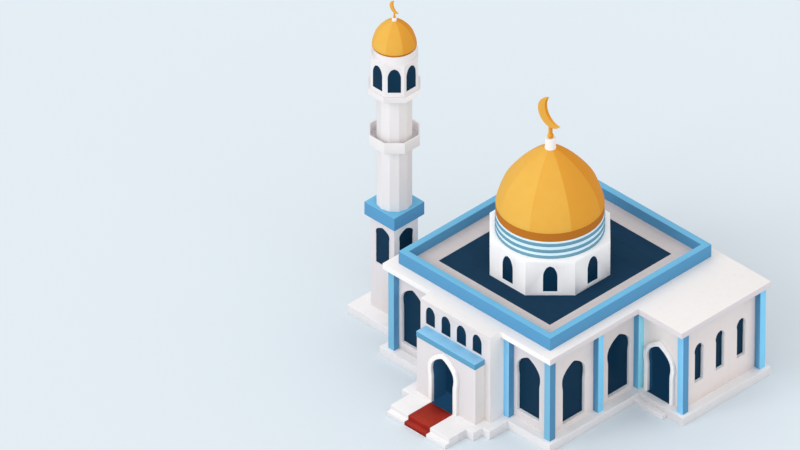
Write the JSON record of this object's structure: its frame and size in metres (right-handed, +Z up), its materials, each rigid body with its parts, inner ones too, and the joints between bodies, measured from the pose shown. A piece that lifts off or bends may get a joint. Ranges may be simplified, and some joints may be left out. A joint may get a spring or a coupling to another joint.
{
  "type": "small domed mosque building with one minaret",
  "caption": "White and blue domed mosque with an arched entrance portal, side annex and free-standing minaret on one plinth.",
  "frame": {"origin": "centre of the prayer hall's plan, on the ground under the plinth", "axes": "+Z up; -Y is the entrance front; +X is the annex side and -X the minaret side"},
  "size_m": [17.04, 14.601, 17.3364],
  "materials": {
    "plaster": "matt white render",
    "plinth": "matt pale stone",
    "blue_render": "smooth painted render, satin",
    "deck": "matt roof coating with a pale grey border",
    "glass": "dark tinted, glossy",
    "gold": "satin gilt sheet",
    "carpet": "short pile"
  },
  "bodies": {
    "root": {"main_plinth": "plinth", "minaret_plinth": "plinth", "entrance_steps": "plinth", "side_step": "plinth", "entrance_carpet": "carpet", "front_wall_left": "plaster", "front_wall_right": "plaster", "left_wall": "plaster", "right_wall": "plaster", "back_wall": "plaster", "annex_front_pier_left": "plaster", "annex_front_pier_right": "plaster", "annex_front_arch": "plaster", "annex_door_surround": "plaster", "annex_right_wall": "plaster", "portal_pier_left": "plaster", "portal_pier_right": "plaster", "portal_front": "plaster", "portal_door_surround": "plaster", "portal_roof": "plaster", "hall_roof_slab": "plaster", "annex_roof_slab": "plaster", "dome_drum": "plaster", "dome_band": "plaster", "minaret_base": "plaster", "minaret_shaft": "plaster", "minaret_gallery": "plaster", "minaret_lantern": "plaster", "front_glass_left": "glass", "front_glass_right": "glass", "left_glass": "glass", "right_glass": "glass", "back_glass": "glass", "annex_right_glass": "glass", "portal_glass": "glass", "drum_glass": "glass", "minaret_base_glass": "glass", "lantern_glass": "glass", "portal_canopy": "blue_render", "roof_parapet": "blue_render", "minaret_capital": "blue_render", "pilaster_front_left": "blue_render", "pilaster_front_right": "blue_render", "pilaster_annex_front": "blue_render", "pilaster_annex_back": "blue_render", "pilaster_back_left": "blue_render", "pilaster_portal_left": "blue_render", "pilaster_portal_right": "blue_render", "pilaster_right_middle": "blue_render", "pilaster_right_annex": "blue_render", "pilaster_left_front": "blue_render", "pilaster_left_back": "blue_render", "pilaster_back_middle": "blue_render", "pilaster_back_right": "blue_render", "roof_deck": "deck", "main_dome": "gold", "main_finial": "gold", "minaret_dome": "gold", "minaret_finial": "gold"}
  },
  "joints": []
}
